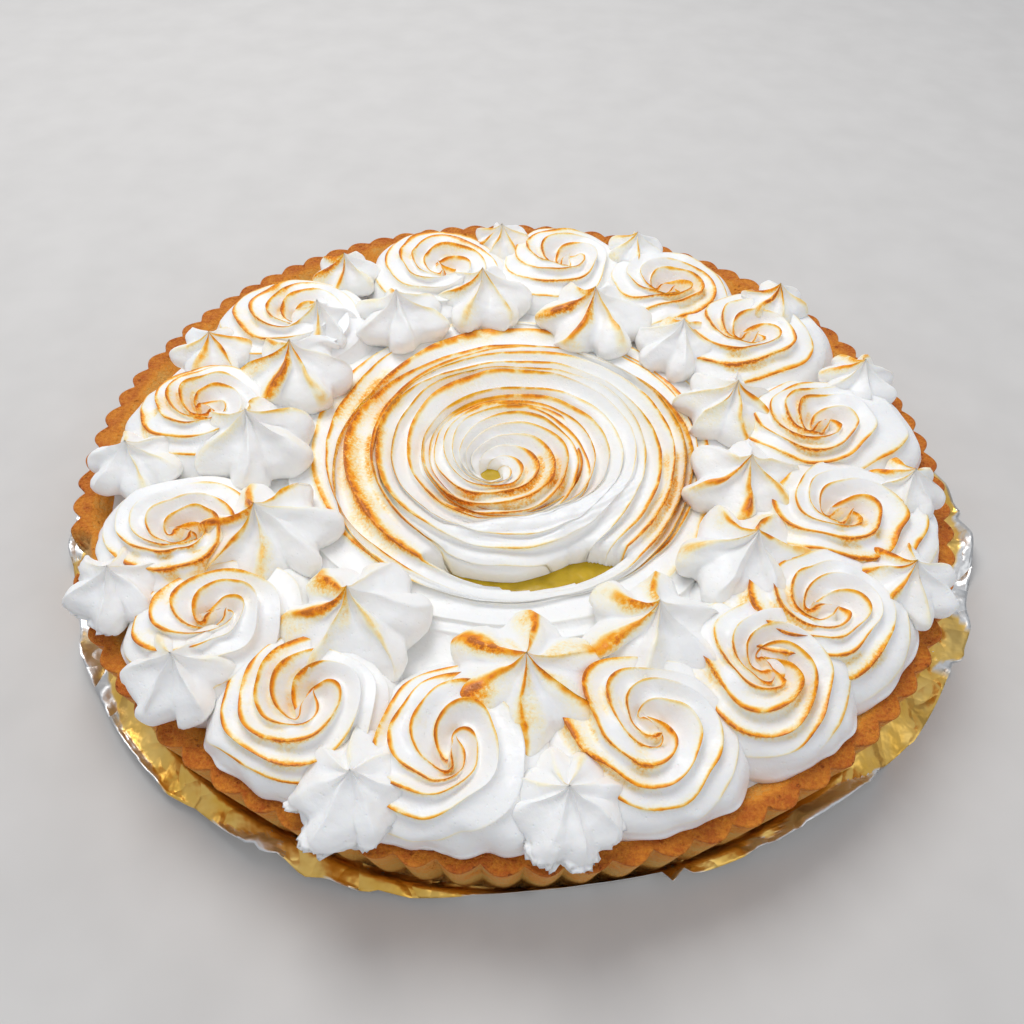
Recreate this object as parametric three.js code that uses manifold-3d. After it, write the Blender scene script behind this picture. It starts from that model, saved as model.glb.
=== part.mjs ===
// Lemon meringue pie, 28 cm: a fluted shortcrust case filled with lemon curd, topped with a
// spiral of meringue, a ring of piped rosettes and two rings of star kisses, on its gold foil.
// Millimetres, +Z up. The origin is on the surface the foil lies on, under the case's centre.

import * as THREE from "three";
import { mergeVertices } from "three/addons/utils/BufferGeometryUtils.js";
import Module from "manifold-3d";

const wasm = await Module();
wasm.setup();

// Driving dimensions
const gap = 0.3;                 // kept between pieces that touch
const foilThickness = 0.6;
const caseRadius = 140;          // to the tips of the flutes at the rim
const caseHeight = 26;
const caseDraft = 6;             // the wall leans in by this much towards its foot
const fluteCount = 84;
const fluteDepthTop = 3.4;
const fluteDepthFoot = 1.2;
const rimWidth = 5.5;
const rimInnerSlope = 8;         // run of the inner wall from the rim down to the curd
const floorThickness = 5;
const curdBelowRim = 7;
const pipingCentre = new THREE.Vector2(0, -6);   // the piping sits a little towards the front

const footZ = foilThickness + gap;
const rimZ = footZ + caseHeight;
const floorZ = footZ + floorThickness;
const curdZ = rimZ - curdBelowRim;
const rimInnerRadius = caseRadius - rimWidth;
const curdRadius = rimInnerRadius - rimInnerSlope;
const floorRadius = curdRadius - 3;    // the wall goes on leaning in below the curd's surface

const degree = Math.PI / 180;
const roundSides = 44;           // facets round the smooth turned surfaces

// Rosettes: bearing and distance from the piping centre, spread of the coil, and its turn
const rosetteHeight = 19.5;
const rosetteArms = 3;
const rosettes = [
  { bearing: 8, out: 102, spread: 24, turn: 20 },
  { bearing: 36, out: 104, spread: 25, turn: 70 },
  { bearing: 58, out: 106, spread: 24, turn: 110 },
  { bearing: 81, out: 108, spread: 25, turn: 150 },
  { bearing: 108, out: 103, spread: 26, turn: 200 },
  { bearing: 142, out: 103, spread: 25, turn: 230 },
  { bearing: 173, out: 104, spread: 24, turn: 280 },
  { bearing: 203, out: 105, spread: 24, turn: 300 },
  { bearing: 221, out: 106, spread: 23, turn: 330 },
  { bearing: 242, out: 108, spread: 24, turn: 10 },
  { bearing: 263, out: 108, spread: 25, turn: 40 },
  { bearing: 290, out: 105, spread: 24, turn: 90 },
  { bearing: 310, out: 105, spread: 24, turn: 130 },
  { bearing: 325, out: 106, spread: 25, turn: 160 },
  { bearing: 346, out: 102, spread: 23, turn: 190 },
];

// Kisses piped between the spiral and the rosettes
const kissRidges = 7;
const innerKissFoot = 4;         // how far below the rim their feet reach
const innerKisses = [
  { bearing: 18, out: 75, spread: 16, height: 21 },
  { bearing: 44, out: 79, spread: 14, height: 21 },
  { bearing: 69, out: 76, spread: 19, height: 22 },
  { bearing: 100, out: 82, spread: 17, height: 22 },
  { bearing: 124, out: 80, spread: 16, height: 22 },
  { bearing: 141, out: 93, spread: 12, height: 22 },
  { bearing: 157, out: 84, spread: 18, height: 23 },
  { bearing: 181, out: 84, spread: 18, height: 24 },
  { bearing: 209, out: 82, spread: 19, height: 23 },
  { bearing: 239, out: 81, spread: 19, height: 23 },
  { bearing: 273, out: 86, spread: 21, height: 22 },
  { bearing: 299, out: 80, spread: 18, height: 22 },
  { bearing: 327, out: 80, spread: 18, height: 23 },
  { bearing: 350, out: 73, spread: 17, height: 22 },
];

// Smaller kisses piped on the rim, in the notches between the rosettes
const outerKisses = [
  { bearing: 17, out: 123, spread: 12, height: 14 },
  { bearing: 39, out: 124, spread: 11, height: 13 },
  { bearing: 68, out: 122, spread: 11, height: 13 },
  { bearing: 94, out: 120, spread: 12, height: 14 },
  { bearing: 126, out: 116, spread: 12, height: 15 },
  { bearing: 158, out: 117, spread: 13, height: 14 },
  { bearing: 186, out: 120, spread: 13, height: 15 },
  { bearing: 209, out: 125, spread: 13, height: 15 },
  { bearing: 226, out: 122, spread: 14, height: 16 },
  { bearing: 253, out: 122, spread: 14, height: 15 },
  { bearing: 277, out: 120, spread: 13, height: 15 },
  { bearing: 336, out: 123, spread: 13, height: 15 },
  { bearing: 353, out: 122, spread: 11, height: 14 },
];

// Spiral of meringue over the middle
const spiralCentre = new THREE.Vector2(0, -9);
const spiralRadius = 81;
const spiralCrest = 32;
const spiralArms = 4;

// Foil: how far out each corner of the hand-cut edge is, at even steps of bearing from +X
const foilCorners = [
  158, 151, 144, 140, 138, 138, 140, 143, 147,
  151, 147, 145, 143, 140, 138, 140, 146, 153,
];
const foilFlatRadius = 135.5;

// A solid of revolution about +Z whose vertices are then moved by place(angle, radius, height).
function turned(profile, segments, place) {
  const points = profile.map(([radius, height]) => new THREE.Vector2(radius, height));
  const geometry = new THREE.LatheGeometry(points, segments);
  const position = geometry.getAttribute("position");
  for (let index = 0; index < position.count; index += 1) {
    const step = Math.floor(index / points.length) % segments;
    const { x: radius, y: height } = points[index % points.length];
    const moved = place(step / segments * 2 * Math.PI, radius, height);
    position.setXYZ(index, moved.x, moved.y, moved.z);
  }
  return welded(geometry);
}

// Shares the vertices along seams and poles, and drops the triangles that close up there.
function welded(geometry) {
  geometry.deleteAttribute("normal");
  geometry.deleteAttribute("uv");
  const merged = mergeVertices(geometry, 1e-4);
  const corners = merged.getIndex().array;
  const kept = [];
  for (let index = 0; index < corners.length; index += 3) {
    const [a, b, c] = corners.slice(index, index + 3);
    if (a !== b && b !== c && c !== a) {
      kept.push(a, b, c);
    }
  }
  merged.setIndex(kept);
  return merged;
}

function polar(angle, radius, height) {
  return new THREE.Vector3(radius * Math.cos(angle), radius * Math.sin(angle), height);
}

function toManifold(geometry) {
  const vertProperties = new Float32Array(geometry.getAttribute("position").array);
  const triVerts = new Uint32Array(geometry.getIndex().array);
  return new wasm.Manifold(new wasm.Mesh({ numProp: 3, vertProperties, triVerts }));
}

// The body of a cut solid, without any crumb that the cuts left loose.
function toGeometry(manifold) {
  const mesh = manifold.getMesh();
  const corners = Array.from(mesh.triVerts);
  const owner = Array.from({ length: mesh.vertProperties.length / 3 }, (_, index) => index);
  const find = (vertex) => {
    let root = vertex;
    while (owner[root] !== root) {
      root = owner[root];
    }
    owner[vertex] = root;
    return root;
  };
  for (let index = 0; index < corners.length; index += 3) {
    owner[find(corners[index + 1])] = find(corners[index]);
    owner[find(corners[index + 2])] = find(corners[index]);
  }
  const sizes = new Map();
  for (const vertex of corners) {
    sizes.set(find(vertex), (sizes.get(find(vertex)) ?? 0) + 1);
  }
  const [largest] = [...sizes].sort((a, b) => b[1] - a[1])[0];
  const geometry = new THREE.BufferGeometry();
  geometry.setAttribute("position", new THREE.BufferAttribute(new Float32Array(mesh.vertProperties), 3));
  geometry.setIndex(corners.filter((vertex) => find(vertex) === largest));
  return geometry;
}

function cutAway(geometry, tools) {
  let body = toManifold(geometry);
  for (const tool of tools) {
    body = body.subtract(toManifold(tool));
  }
  return toGeometry(body);
}

// 1 on the tip of a flute and 0 in the crease between two
function flute(angle) {
  return Math.abs(Math.cos(fluteCount * angle / 2));
}

// The case before it is hollowed: a drum with a fluted wall that leans out to the rim
function caseBlock() {
  const footRadius = caseRadius - caseDraft;
  const profile = [[0, footZ], [footRadius, footZ], [caseRadius, rimZ], [0, rimZ]];
  return turned(profile, 2 * fluteCount, (angle, radius, height) => {
    const up = (height - footZ) / caseHeight;
    const depth = THREE.MathUtils.lerp(fluteDepthFoot, fluteDepthTop, up);
    return polar(angle, radius > 0 ? radius - depth * (1 - flute(angle)) : 0, height);
  });
}

// The hollow of the case, carried on up past the rim
function caseHollow() {
  const past = 1;
  const profile = [
    [0, floorZ],
    [floorRadius, floorZ],
    [curdRadius, curdZ],
    [rimInnerRadius + past * rimInnerSlope / curdBelowRim, rimZ + past],
    [0, rimZ + past],
  ];
  return turned(profile, roundSides, polar);
}

// The room the case's wall takes up, with the gap around it, for cutting what rests on it
function caseRoom() {
  const outside = caseRadius + 10;
  const profile = [
    [outside, footZ],
    [outside, rimZ + gap],
    [rimInnerRadius - 2 * gap, rimZ + gap],
    [curdRadius - 2 * gap, curdZ],
    [floorRadius - 2 * gap, footZ],
    [outside, footZ],
  ];
  return turned(profile, roundSides, polar);
}

function curdGeometry() {
  const profile = [
    [0, floorZ + gap],
    [floorRadius - 1, floorZ + gap],
    [curdRadius - 1, curdZ],
    [0, curdZ],
  ];
  return turned(profile, roundSides, polar);
}

// A star kiss: a drop with sharp ridges that lean round as they rise to a pulled-up point
const kissOutline = [[0, 0], [0.84, 0], [1, 0.2], [0.44, 0.66], [0, 1]];

function kissGeometry({ centre, foot, spread, height, turn }) {
  const ridgeDepth = 0.3;
  const lean = 18 * degree;
  const profile = kissOutline.map(([across, up]) => [across * spread, foot + up * height]);
  return turned(profile, 2 * kissRidges, (angle, radius, z) => {
    const ridge = Math.abs(Math.cos(kissRidges * angle / 2));
    const reach = radius * (1 - ridgeDepth * (1 - ridge));
    const twist = lean * (z - foot) / height + turn;
    return polar(angle + twist, reach, z).add(new THREE.Vector3(centre.x, centre.y, 0));
  });
}

// The room a kiss takes up, with the gap around it
function kissRoom({ centre, foot, spread, height }) {
  const sides = 8;
  const around = (spread + gap) / Math.cos(Math.PI / sides);
  const profile = kissOutline.map(([across, up]) => [
    across * around,
    up === 0 ? foot - gap : foot + up * (height + 2 * gap),
  ]);
  return turned(profile, sides, (angle, radius, z) => {
    return polar(angle, radius, z).add(new THREE.Vector3(centre.x, centre.y, 0));
  });
}

// A rosette: a domed coil with spiral ridges, a dip where the coil starts and an outer skirt.
function rosetteGeometry({ centre, spread, turn, grow }) {
  const foot = curdZ + gap;
  const outline = [[0, 0], [0.88, 0.02], [1, 0.34], [0.66, 0.98], [0.26, 0.84], [0, 0.72]];
  const ridgeHeight = 1.3;
  const windings = 5;
  const sides = 15;
  const profile = outline.map(([across, up]) => [
    across === 0 ? 0 : across * spread + grow,
    up < 0.1 ? foot : foot + up * rosetteHeight + grow,
  ]);
  return turned(profile, sides, (angle, radius, z) => {
    const across = radius / spread;
    const phase = rosetteArms * (angle + turn * degree) - windings * across;
    const ridge = across > 0.1 && z > foot + 1 ? ridgeHeight * Math.cos(phase) : 0;
    const reach = radius * (1 + 0.03 * Math.cos(phase));
    return polar(angle, reach, z + ridge).add(new THREE.Vector3(centre.x, centre.y, 0));
  });
}

// The spiral: a low disc of ridged meringue, open at its middle and at one torn slit.
function spiralGeometry() {
  const foot = curdZ + gap;
  const ridgeHeight = 1;
  const windings = 22;
  const rows = 5;
  const sides = 28;
  const profile = [[0, foot], [spiralRadius - 2, foot]];
  for (let row = 0; row < rows; row += 1) {
    const across = 1 - row / rows;
    const crown = Math.sin(Math.PI * (0.3 + 0.55 * across));
    profile.push([across * spiralRadius, foot + (spiralCrest - foot) * crown]);
  }
  profile.push([0, foot + 4]);
  return turned(profile, sides, (angle, radius, z) => {
    const phase = spiralArms * angle - windings * radius / spiralRadius;
    const ridge = z > foot && radius > 0 ? ridgeHeight * Math.cos(phase) : 0;
    return polar(angle, radius, z + ridge).add(new THREE.Vector3(spiralCentre.x, spiralCentre.y, 0));
  });
}

// An upright drum with an oval section, used to open the meringue down to the curd.
function ovalHole(centre, halfLength, halfWidth, bearing) {
  const bottom = curdZ - 1;
  const top = rimZ + 20;
  const profile = [[0, bottom], [1, bottom], [1, top], [0, top]];
  return turned(profile, 12, (angle, radius, z) => {
    const along = radius * halfLength * Math.cos(angle);
    const across = radius * halfWidth * Math.sin(angle);
    const x = along * Math.cos(bearing) - across * Math.sin(bearing);
    const y = along * Math.sin(bearing) + across * Math.cos(bearing);
    return new THREE.Vector3(centre.x + x, centre.y + y, z);
  });
}

// The foil: flat under the case, lifting in soft waves out to its hand-cut edge. The outline runs
// from 0 at the middle by 1 at the edge of the flat part to 2 at the cut edge.
function foilGeometry() {
  const lift = 3;
  const profile = [
    [0, 0],
    [1, 0],
    [2, 0],
    [2, foilThickness],
    [1, foilThickness],
    [0, foilThickness],
  ];
  return turned(profile, 2 * foilCorners.length, (angle, across, z) => {
    const step = angle / (2 * Math.PI) * foilCorners.length;
    const corner = Math.floor(step + 1e-6);
    const next = foilCorners[(corner + 1) % foilCorners.length];
    const edge = THREE.MathUtils.lerp(foilCorners[corner], next, step - corner);
    const outwards = Math.max(0, across - 1);
    const radius = THREE.MathUtils.lerp(foilFlatRadius * Math.min(1, across), edge, outwards);
    const wave = lift * outwards * (0.55 + 0.45 * Math.sin(5 * angle + 1));
    return polar(angle, radius, z + wave);
  });
}

function pipedAt({ bearing, out }) {
  const angle = bearing * degree;
  const offset = new THREE.Vector2(Math.cos(angle), Math.sin(angle)).multiplyScalar(out);
  return offset.add(pipingCentre);
}

// Part of the rim has broken away on the left
function chipGeometry() {
  const bearing = 201 * degree;
  const centre = new THREE.Vector2(Math.cos(bearing), Math.sin(bearing)).multiplyScalar(caseRadius + 2);
  const profile = [[0, rimZ - 13], [5.5, rimZ - 8], [7, rimZ + 3], [0, rimZ + 4]];
  return turned(profile, 9, (angle, radius, z) => {
    const uneven = 1 + 0.22 * Math.sin(4 * angle + 1);
    return polar(angle, radius * uneven, z).add(new THREE.Vector3(centre.x, centre.y, 0));
  });
}

const looks = {
  pastry: { color: 0xc27a35, roughness: 0.8 },
  curd: { color: 0xb89a14, roughness: 0.25 },
  meringue: { color: 0xf6f2ea, roughness: 0.55 },
  foil: { color: 0xc9a040, roughness: 0.3, metalness: 1 },
};

function named(name, geometry, look) {
  const material = new THREE.MeshStandardMaterial(looks[look]);
  const mesh = new THREE.Mesh(geometry, material);
  mesh.name = name;
  return mesh;
}

function numbered(prefix, index) {
  return `${prefix}_${String(index + 1).padStart(2, "0")}`;
}

function kissSpecs() {
  const inner = innerKisses.map((kiss, index) => ({
    ...kiss,
    name: numbered("kiss_inner", index),
    centre: pipedAt(kiss),
    foot: rimZ - innerKissFoot,
    turn: kiss.bearing * degree,
  }));
  const outer = outerKisses.map((kiss, index) => ({
    ...kiss,
    name: numbered("kiss_outer", index),
    centre: pipedAt(kiss),
    foot: rimZ + gap,
    turn: kiss.bearing * degree,
  }));
  return [...inner, ...outer];
}

function buildPie() {
  const pie = new THREE.Group();
  pie.add(named("foil_liner", foilGeometry(), "foil"));
  pie.add(named("pastry_case", cutAway(caseBlock(), [caseHollow(), chipGeometry()]), "pastry"));
  pie.add(named("lemon_curd", curdGeometry(), "curd"));

  const kisses = kissSpecs();
  const kissTools = kisses.map(kissRoom);
  const caseTool = caseRoom();
  const coils = rosettes.map((rosette) => ({ ...rosette, centre: pipedAt(rosette) }));
  const coilTools = coils.map((coil) => rosetteGeometry({ ...coil, grow: gap }));

  const holes = [
    ovalHole(new THREE.Vector2(-8, -6), 5, 4, -20 * degree),
    ovalHole(new THREE.Vector2(14, -47), 13, 5.5, 30 * degree),
  ];
  const spiral = cutAway(spiralGeometry(), [...holes, ...coilTools, ...kissTools]);
  pie.add(named("centre_spiral", spiral, "meringue"));

  coils.forEach((coil, index) => {
    const piece = rosetteGeometry({ ...coil, grow: 0 });
    const later = coilTools.slice(index + 1);
    const geometry = cutAway(piece, [caseTool, ...later, ...kissTools]);
    pie.add(named(numbered("rosette", index), geometry, "meringue"));
  });

  kisses.forEach((kiss) => {
    pie.add(named(kiss.name, kissGeometry(kiss), "meringue"));
  });
  return pie;
}

export default buildPie();
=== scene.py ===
import math
from functools import partial

import bpy
import numpy as np
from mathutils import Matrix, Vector, noise


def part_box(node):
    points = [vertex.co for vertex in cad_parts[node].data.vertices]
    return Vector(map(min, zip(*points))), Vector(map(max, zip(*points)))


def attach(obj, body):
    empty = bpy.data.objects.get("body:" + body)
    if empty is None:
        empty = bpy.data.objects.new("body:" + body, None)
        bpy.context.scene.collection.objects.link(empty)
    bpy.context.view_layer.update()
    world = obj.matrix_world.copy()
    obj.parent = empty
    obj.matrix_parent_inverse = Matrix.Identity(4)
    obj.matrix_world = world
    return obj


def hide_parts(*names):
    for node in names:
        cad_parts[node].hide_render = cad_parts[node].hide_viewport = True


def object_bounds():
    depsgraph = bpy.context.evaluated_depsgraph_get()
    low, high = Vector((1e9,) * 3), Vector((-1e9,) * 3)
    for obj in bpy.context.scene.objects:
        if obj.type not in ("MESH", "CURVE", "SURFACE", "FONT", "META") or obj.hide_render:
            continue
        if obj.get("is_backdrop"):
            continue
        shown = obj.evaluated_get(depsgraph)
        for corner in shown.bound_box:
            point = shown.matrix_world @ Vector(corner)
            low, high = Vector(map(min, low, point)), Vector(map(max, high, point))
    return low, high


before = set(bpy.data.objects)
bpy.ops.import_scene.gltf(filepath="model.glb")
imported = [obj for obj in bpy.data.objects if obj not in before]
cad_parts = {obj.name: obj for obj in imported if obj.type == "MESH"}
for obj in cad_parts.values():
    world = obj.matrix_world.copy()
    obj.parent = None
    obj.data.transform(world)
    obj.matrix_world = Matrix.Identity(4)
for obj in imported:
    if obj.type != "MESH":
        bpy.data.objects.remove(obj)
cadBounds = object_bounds()

mm = 0.001
turn = 2 * math.pi


# an sRGB hex colour as linear RGBA
def linear(hexColour):
    values = [int(hexColour[start:start + 2], 16) / 255 for start in (1, 3, 5)]
    return tuple(v / 12.92 if v <= 0.04045 else ((v + 0.055) / 1.055) ** 2.4 for v in values) + (1,)


# adds a node, sets its properties, and fills or links its inputs; a word in capitals is a maths
# node, and a sum or product of more than two values is taken from the left
def add(tree, kind, *values, out=0, inputs=None, points=None, stops=None, **settings):
    if kind.isupper():
        if len(values) > 2:
            values = (add(tree, kind, *values[:-1]), values[-1])
        kind, settings = "ShaderNodeMath", dict(settings, operation=kind)
    node = tree.nodes.new(kind)
    for key, value in settings.items():
        setattr(node, key, value)
    for spot, value in [*enumerate(values), *(inputs or {}).items()]:
        if isinstance(value, bpy.types.NodeSocket):
            tree.links.new(value, node.inputs[spot])
        elif value is not None:
            node.inputs[spot].default_value = value
    if points:                                    # a float curve through these points
        bend = node.mapping.curves[0]
        while len(bend.points) < len(points):
            bend.points.new(0.5, 0.5)
        for point, (x, y) in zip(bend.points, points):
            point.location = (x, y)
        node.mapping.update()
    if stops:                                     # a colour ramp with these stops
        ramp = node.color_ramp
        while len(ramp.elements) < len(stops):
            ramp.elements.new(0.5)
        for element, (position, colour) in zip(ramp.elements, stops):
            element.position = position
            element.color = linear(colour)
    return node.outputs[out]


# an empty Geometry Nodes tree with named inputs; gives back the tree and its input sockets
def growthTree(name, sizes):
    tree = bpy.data.node_groups.new(name, "GeometryNodeTree")
    kinds = {int: "NodeSocketInt", float: "NodeSocketFloat", tuple: "NodeSocketVector"}
    tree.interface.new_socket("Geometry", in_out="INPUT", socket_type="NodeSocketGeometry")
    tree.interface.new_socket("Geometry", in_out="OUTPUT", socket_type="NodeSocketGeometry")
    for label, value in sizes.items():
        socket = tree.interface.new_socket(label, in_out="INPUT", socket_type=kinds[type(value)])
        socket.default_value = value
    tree.interface.new_socket("Material", in_out="INPUT", socket_type="NodeSocketMaterial")
    start = tree.nodes.new("NodeGroupInput")
    return tree, {socket.name: socket for socket in start.outputs if socket.name}


# closes a tree: merges seams and poles, shades it smooth, and gives it its material
def closeTree(tree, geometry, material, merge=0.02 * mm):
    merged = add(tree, "GeometryNodeMergeByDistance", geometry, inputs={"Distance": merge})
    smooth = add(tree, "GeometryNodeSetShadeSmooth", merged)
    real = add(tree, "GeometryNodeRealizeInstances", smooth)
    dressed = add(tree, "GeometryNodeSetMaterial", real, inputs={"Material": material})
    end = tree.nodes.new("NodeGroupOutput")
    tree.links.new(dressed, end.inputs[0])


# runs a tree on a mesh and keeps the result as a plain mesh; its inputs are given in camelCase
def grow(name, tree, material, base=None, **sizes):
    mesh = base or bpy.data.meshes.new(name)
    piece = bpy.data.objects.new(name, mesh)
    bpy.context.scene.collection.objects.link(piece)
    growth = piece.modifiers.new("growth", "NODES")
    growth.node_group = tree
    wanted = dict(sizes, material=material)
    for item in tree.interface.items_tree:
        first, *rest = item.name.split()
        key = first.lower() + "".join(word.capitalize() for word in rest)
        if item.in_out == "INPUT" and key in wanted:
            growth[item.identifier] = wanted.pop(key)
    if wanted:
        raise ValueError(f"{name} has no input for {sorted(wanted)}")
    graph = bpy.context.evaluated_depsgraph_get()
    made = bpy.data.meshes.new_from_object(
        piece.evaluated_get(graph), preserve_all_data_layers=True, depsgraph=graph)
    piece.modifiers.remove(growth)
    piece.data = made
    made.name = name
    bpy.data.meshes.remove(mesh)
    return piece


def vertexPoints(mesh):
    points = np.empty(len(mesh.vertices) * 3, np.float32)
    mesh.vertices.foreach_get("co", points)
    return points.reshape(-1, 3).astype(float)


def setPoints(mesh, points):
    mesh.vertices.foreach_set("co", points.astype(np.float32).ravel())
    mesh.update()


def storeNumbers(mesh, name, numbers):
    layer = mesh.attributes.get(name) or mesh.attributes.new(name, "FLOAT", "POINT")
    layer.data.foreach_set("value", np.asarray(numbers, np.float32))


def readNumbers(mesh, name):
    numbers = np.empty(len(mesh.vertices), np.float32)
    mesh.attributes[name].data.foreach_get("value", numbers)
    return numbers.astype(float)


def smoothStep(low, high, value):
    share = np.clip((value - low) / (high - low), 0, 1)
    return share * share * (3 - 2 * share)


skirtSizes = {                   # how the skirt of a rosette ends on the rim
    "soft": 5 * mm,              # it slows down over this far
    "ragged": 2.2 * mm,
    "lump": 7 * mm,
}


# spreads the skirt of a rosette outwards until it meets the rim, and ends it raggedly short of the edge
def spreadSkirt(points, centre, spread, stop):
    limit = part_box("pastry_case")[1].x - stop
    reach = np.hypot(points[:, 0], points[:, 1])
    fromX, fromY = points[:, 0] - centre[0], points[:, 1] - centre[1]
    away = np.hypot(fromX, fromY)
    outwards = (fromX * centre[0] + fromY * centre[1]) / np.maximum(away, 1e-6) / math.hypot(*centre)
    short = max(limit - reach.max(), 0) * np.clip(outwards, 0, 1)
    wider = 1 + short * smoothStep(0.5 * spread, 0.95 * spread, away) / np.maximum(reach, 1e-6)
    points[:, :2] *= wider[:, None]
    reach *= wider
    lumps = np.array([noise.noise(Vector((x, y, 0)) / skirtSizes["lump"]) for x, y, z in points])
    soft = skirtSizes["soft"]
    past = np.maximum(reach - (limit + skirtSizes["ragged"] * lumps - soft), 0)
    held = reach - past + soft * (1 - np.exp(-past / soft))
    points[:, :2] *= (held / np.maximum(reach, 1e-6))[:, None]


# lays the foot of a piped piece over the case's rim where it would sink into it
def drapeOverRim(mesh, skirt=None, clear=1.9 * mm, squeezed=0.22):
    rimTop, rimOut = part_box("pastry_case")[1].z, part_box("pastry_case")[1].x
    points = vertexPoints(mesh)
    if skirt:
        spreadSkirt(points, **skirt)
    reach = np.hypot(points[:, 0], points[:, 1])
    over = smoothStep(rimOut - 9 * mm, rimOut - 5 * mm, reach)
    over *= 1 - smoothStep(rimOut + 0.8 * mm, rimOut + 3 * mm, reach)
    sunk = np.maximum(rimTop + clear - points[:, 2], 0)
    points[:, 2] += over * sunk * (1 - squeezed)
    setPoints(mesh, points)


# makes a piece stand for its CAD node and ride with the pie
def place(piece, node):
    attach(piece, "root")
    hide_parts(node)


def newMaterial(name):
    material = bpy.data.materials.new(name)
    material.use_nodes = True
    tree = material.node_tree
    tree.nodes.clear()
    end = tree.nodes.new("ShaderNodeOutputMaterial")
    return material, tree, end


meringueLook = {
    "white": "#fbfaf7",
    "cream": "#fff3d4",      # where the torch only just reached
    "straw": "#ffd684",
    "amber": "#ffae14",
    "brown": "#f08c02",
    "char": "#bd670a",
    "bubblePitch": 1.76,     # mm, between the small burst bubbles in the skin
    "speckle": 0.95,         # mm, the grain of the torching
}


# Italian meringue, whipped, piped through a star tip and torched: soft and lit from inside, a
# satin skin with tiny bubbles, thin burnt lines on the ridges that fade down one flank to cream
def torchedMeringue(look):
    material, tree, end = newMaterial("torched Italian meringue")
    new = partial(add, tree)
    where = new("ShaderNodeTexCoord", out=3)
    ridge = new("ShaderNodeAttribute", attribute_name="ridge", out=2)
    flank = new("ShaderNodeAttribute", attribute_name="flank", out=2)
    toast = new("ShaderNodeAttribute", attribute_name="toast", out=2)

    patches = new("ShaderNodeTexNoise", where, inputs={"Scale": 1 / (14 * mm), "Detail": 2.0})
    patchy = new("ShaderNodeMapRange", patches, 0.36, 0.62, 0.22, 1.0, interpolation_type="SMOOTHSTEP")
    speckles = new("ShaderNodeTexNoise", where,
                   inputs={"Scale": 1 / (look["speckle"] * mm), "Detail": 3.0, "Roughness": 0.7})
    grainy = new("ShaderNodeMapRange", speckles, 0.3, 0.7, -1.0, 1.0)
    broken = new("ShaderNodeTexNoise", where, inputs={"Scale": 1 / (5 * mm), "Detail": 2.0})
    breaks = new("ShaderNodeMapRange", broken, 0.32, 0.6, 0.35, 1.1)

    # a burnt line on the crest, a soft halo beside it, and broad washes down the outer flank
    width = new("ShaderNodeMapRange", toast, 0.0, 1.0, 0.2, 0.56)
    line = new("ShaderNodeMapRange", ridge, 0.0, width, 1.0, 0.0, interpolation_type="SMOOTHSTEP")
    burnt = new("ShaderNodeMapRange", toast, 0.03, 0.5, 0.0, 0.88)
    lineHeat = new("MULTIPLY", line, breaks, burnt)
    oneSide = new("ShaderNodeMapRange", flank, -0.6, 0.4, 0.3, 1.0, interpolation_type="SMOOTHSTEP")
    near = new("ShaderNodeMapRange", ridge, 0.0, 0.85, 1.0, 0.0, interpolation_type="SMOOTHSTEP")
    wash = new("MULTIPLY", near, oneSide, patchy, toast, 0.8)
    flood = new("ShaderNodeMapRange", toast, 0.75, 1.25, 0.0, 0.5)
    wash = new("ADD", wash, new("MULTIPLY", flood, patchy, oneSide))
    grain = new("MULTIPLY", grainy, 0.8, wash)
    both = new("MULTIPLY", new("MINIMUM", lineHeat, wash), 0.35)
    heat = new("ADD", new("MAXIMUM", lineHeat, wash), both, grain, use_clamp=True)
    colour = new("ShaderNodeValToRGB", heat, stops=[
        (0.0, look["white"]), (0.12, look["cream"]), (0.3, look["straw"]),
        (0.5, look["amber"]), (0.74, look["brown"]), (1.0, look["char"])])

    bubbles = new("ShaderNodeTexVoronoi", where,
                  inputs={"Scale": 1 / (look["bubblePitch"] * mm), "Randomness": 1.0})
    pits = new("ShaderNodeMapRange", bubbles, 0.05, 0.22, 0.0, 1.0, interpolation_type="SMOOTHSTEP")
    swell = new("ShaderNodeTexNoise", where, inputs={"Scale": 1 / (2.4 * mm), "Detail": 3.0})
    relief = new("ADD", new("MULTIPLY", pits, 0.35), swell)
    bump = new("ShaderNodeBump", inputs={"Strength": 0.55, "Distance": 0.45 * mm, "Height": relief})
    shine = new("ShaderNodeMapRange", speckles, 0.35, 0.65, 0.28, 0.5)
    shader = new("ShaderNodeBsdfPrincipled", inputs={
        "Base Color": colour, "Roughness": shine, "IOR": 1.45, "Normal": bump,
        "Subsurface Weight": 0.35, "Subsurface Radius": (1.0, 0.85, 0.7), "Subsurface Scale": 1.6 * mm})
    tree.links.new(shader, end.inputs[0])
    return material


crustLook = {
    "pale": "#e2ac54",       # the wall, which baked against the tin
    "gold": "#f09828",
    "brown": "#c4620f",      # the top edge, and the painted shade in the pits
    "crumb": "#dcb070",      # inside, where it broke
    "cloud": 6,              # mm, the patches that browned more
    "grain": 1.1,            # mm
    "pitPitch": 2.6,         # mm
}


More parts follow.
